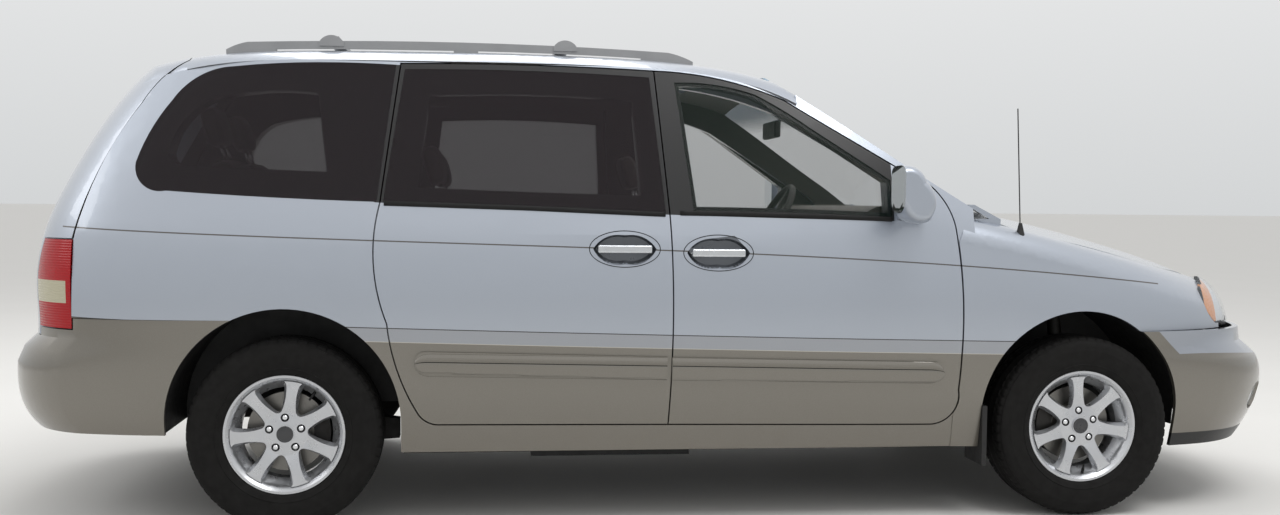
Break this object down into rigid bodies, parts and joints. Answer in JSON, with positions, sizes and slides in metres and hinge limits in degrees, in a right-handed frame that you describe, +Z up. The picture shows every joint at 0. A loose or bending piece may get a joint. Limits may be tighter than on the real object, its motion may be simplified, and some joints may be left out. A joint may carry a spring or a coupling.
{
  "type": "minivan",
  "caption": "Family van in two-tone paint with hinged front doors, sliding side doors, a lifting tailgate, a roof rack and spoked alloy wheels.",
  "frame": {"origin": "on the ground, half way along the body, on its centre plane", "axes": "+X forward, +Y to the vehicle's left, +Z up"},
  "size_m": [4.9477, 2.264, 1.7562],
  "materials": {
    "silver_paint": "metallic gloss",
    "pewter_paint": "metallic gloss",
    "black_plastic": "matte",
    "grey_plastic": "matte",
    "silver_plastic": "satin",
    "clear_glass": "polished",
    "dark_glass": "polished",
    "lamp_lens": "polished",
    "red_lens": "polished",
    "seal_rubber": "matte",
    "seat_cloth": "woven",
    "underbody": "satin",
    "engine_metal": "cast",
    "bare_steel": "satin",
    "disc_iron": "machined",
    "alloy": "machined",
    "tyre": "matte"
  },
  "bodies": {
    "vehicle": {"body_side_left": "silver_paint", "body_side_right": "silver_paint", "roof": "silver_paint", "front_fenders": "silver_paint", "sliding_door_left": "silver_paint", "sliding_door_right": "silver_paint", "front_bumper": "pewter_paint", "rear_bumper": "pewter_paint", "grille": "black_plastic", "cowl": "black_plastic", "wheel_arch_liners": "black_plastic", "mud_flaps": "black_plastic", "dashboard": "grey_plastic", "interior_mirror": "black_plastic", "windscreen": "clear_glass", "quarter_glass": "dark_glass", "sliding_door_glass": "dark_glass", "sunroof_glass": "dark_glass", "headlamps": "lamp_lens", "tail_lamps": "red_lens", "door_seals": "seal_rubber", "roof_rack": "silver_plastic", "antenna": "bare_steel", "wipers": "black_plastic", "front_seats": "seat_cloth", "second_row_seats": "seat_cloth", "third_row_bench": "seat_cloth", "floor_pan": "underbody", "front_subframe": "underbody", "rear_axle": "underbody", "exhaust": "bare_steel", "fuel_tank": "black_plastic", "engine_block": "engine_metal"},
    "wheel_front_left": {"tyre_front_left": "tyre", "rim_front_left": "alloy", "brake_disc_front_left": "disc_iron"},
    "wheel_front_right": {"tyre_front_right": "tyre", "rim_front_right": "alloy", "brake_disc_front_right": "disc_iron"},
    "wheel_rear_left": {"tyre_rear_left": "tyre", "rim_rear_left": "alloy", "brake_disc_rear_left": "disc_iron"},
    "wheel_rear_right": {"tyre_rear_right": "tyre", "rim_rear_right": "alloy", "brake_disc_rear_right": "disc_iron"},
    "steered_left": {"knuckle_left": "disc_iron"},
    "door_front_left": {"front_door_left": "silver_paint", "front_door_glass_left": "clear_glass", "door_mirror_left": "silver_paint"},
    "steered_right": {"knuckle_right": "disc_iron"},
    "door_front_right": {"front_door_right": "silver_paint", "front_door_glass_right": "clear_glass", "door_mirror_right": "silver_paint"},
    "hood_panel": {"hood": "silver_paint"},
    "rear_gate": {"tailgate": "silver_paint", "tailgate_glass": "dark_glass"},
    "fuel_flap": {"fuel_door": "silver_paint"},
    "steering": {"steering_wheel": "black_plastic"}
  },
  "joints": [
    {"name": "wheel_front_left_spin", "type": "hinge", "parent": "steered_left", "child": "wheel_front_left", "pos_m": [1.48, 0.81, 0.336], "axis": [0, 1, 0], "continuous": true},
    {"name": "wheel_front_right_spin", "type": "hinge", "parent": "steered_right", "child": "wheel_front_right", "pos_m": [1.48, -0.81, 0.336], "axis": [0, 1, 0], "continuous": true},
    {"name": "wheel_rear_left_spin", "type": "hinge", "parent": "vehicle", "child": "wheel_rear_left", "pos_m": [-1.43, 0.81, 0.336], "axis": [0, 1, 0], "continuous": true},
    {"name": "wheel_rear_right_spin", "type": "hinge", "parent": "vehicle", "child": "wheel_rear_right", "pos_m": [-1.43, -0.81, 0.336], "axis": [0, 1, 0], "continuous": true},
    {"name": "steer_left", "type": "hinge", "parent": "vehicle", "child": "steered_left", "pos_m": [1.48, 0.742, 0.212], "axis": [0, -0.2159, 0.9764], "range_deg": [-32, 32]},
    {"name": "door_front_left_hinge", "type": "hinge", "parent": "vehicle", "child": "door_front_left", "pos_m": [0.972, 0.948, 0.7], "axis": [0, 0, -1], "range_deg": [0, 65]},
    {"name": "steer_right", "type": "hinge", "parent": "vehicle", "child": "steered_right", "pos_m": [1.48, -0.742, 0.212], "axis": [0, 0.2159, 0.9764], "range_deg": [-32, 32]},
    {"name": "door_front_right_hinge", "type": "hinge", "parent": "vehicle", "child": "door_front_right", "pos_m": [0.972, -0.948, 0.7], "axis": [0, 0, 1], "range_deg": [0, 65]},
    {"name": "hood_hinge", "type": "hinge", "parent": "vehicle", "child": "hood_panel", "pos_m": [1.166, 0, 1.1], "axis": [0, -1, 0], "range_deg": [0, 52]},
    {"name": "tailgate_hinge", "type": "hinge", "parent": "vehicle", "child": "rear_gate", "pos_m": [-1.8, 0, 1.704], "axis": [0, 1, 0], "range_deg": [0, 84]},
    {"name": "fuel_door_hinge", "type": "hinge", "parent": "vehicle", "child": "fuel_flap", "pos_m": [-1.7025, 0.9445, 0.91], "axis": [0, 0, -1], "range_deg": [0, 80]},
    {"name": "steering_wheel_turn", "type": "hinge", "parent": "vehicle", "child": "steering", "pos_m": [0.565, 0.38, 1.071], "axis": [-0.866, 0, 0.5], "range_deg": [-520, 520]}
  ],
  "couplings": [
    {"joint": "steer_right", "follows": "steer_left", "ratio": 1},
    {"joint": "steering_wheel_turn", "follows": "steer_left", "ratio": 16}
  ]
}
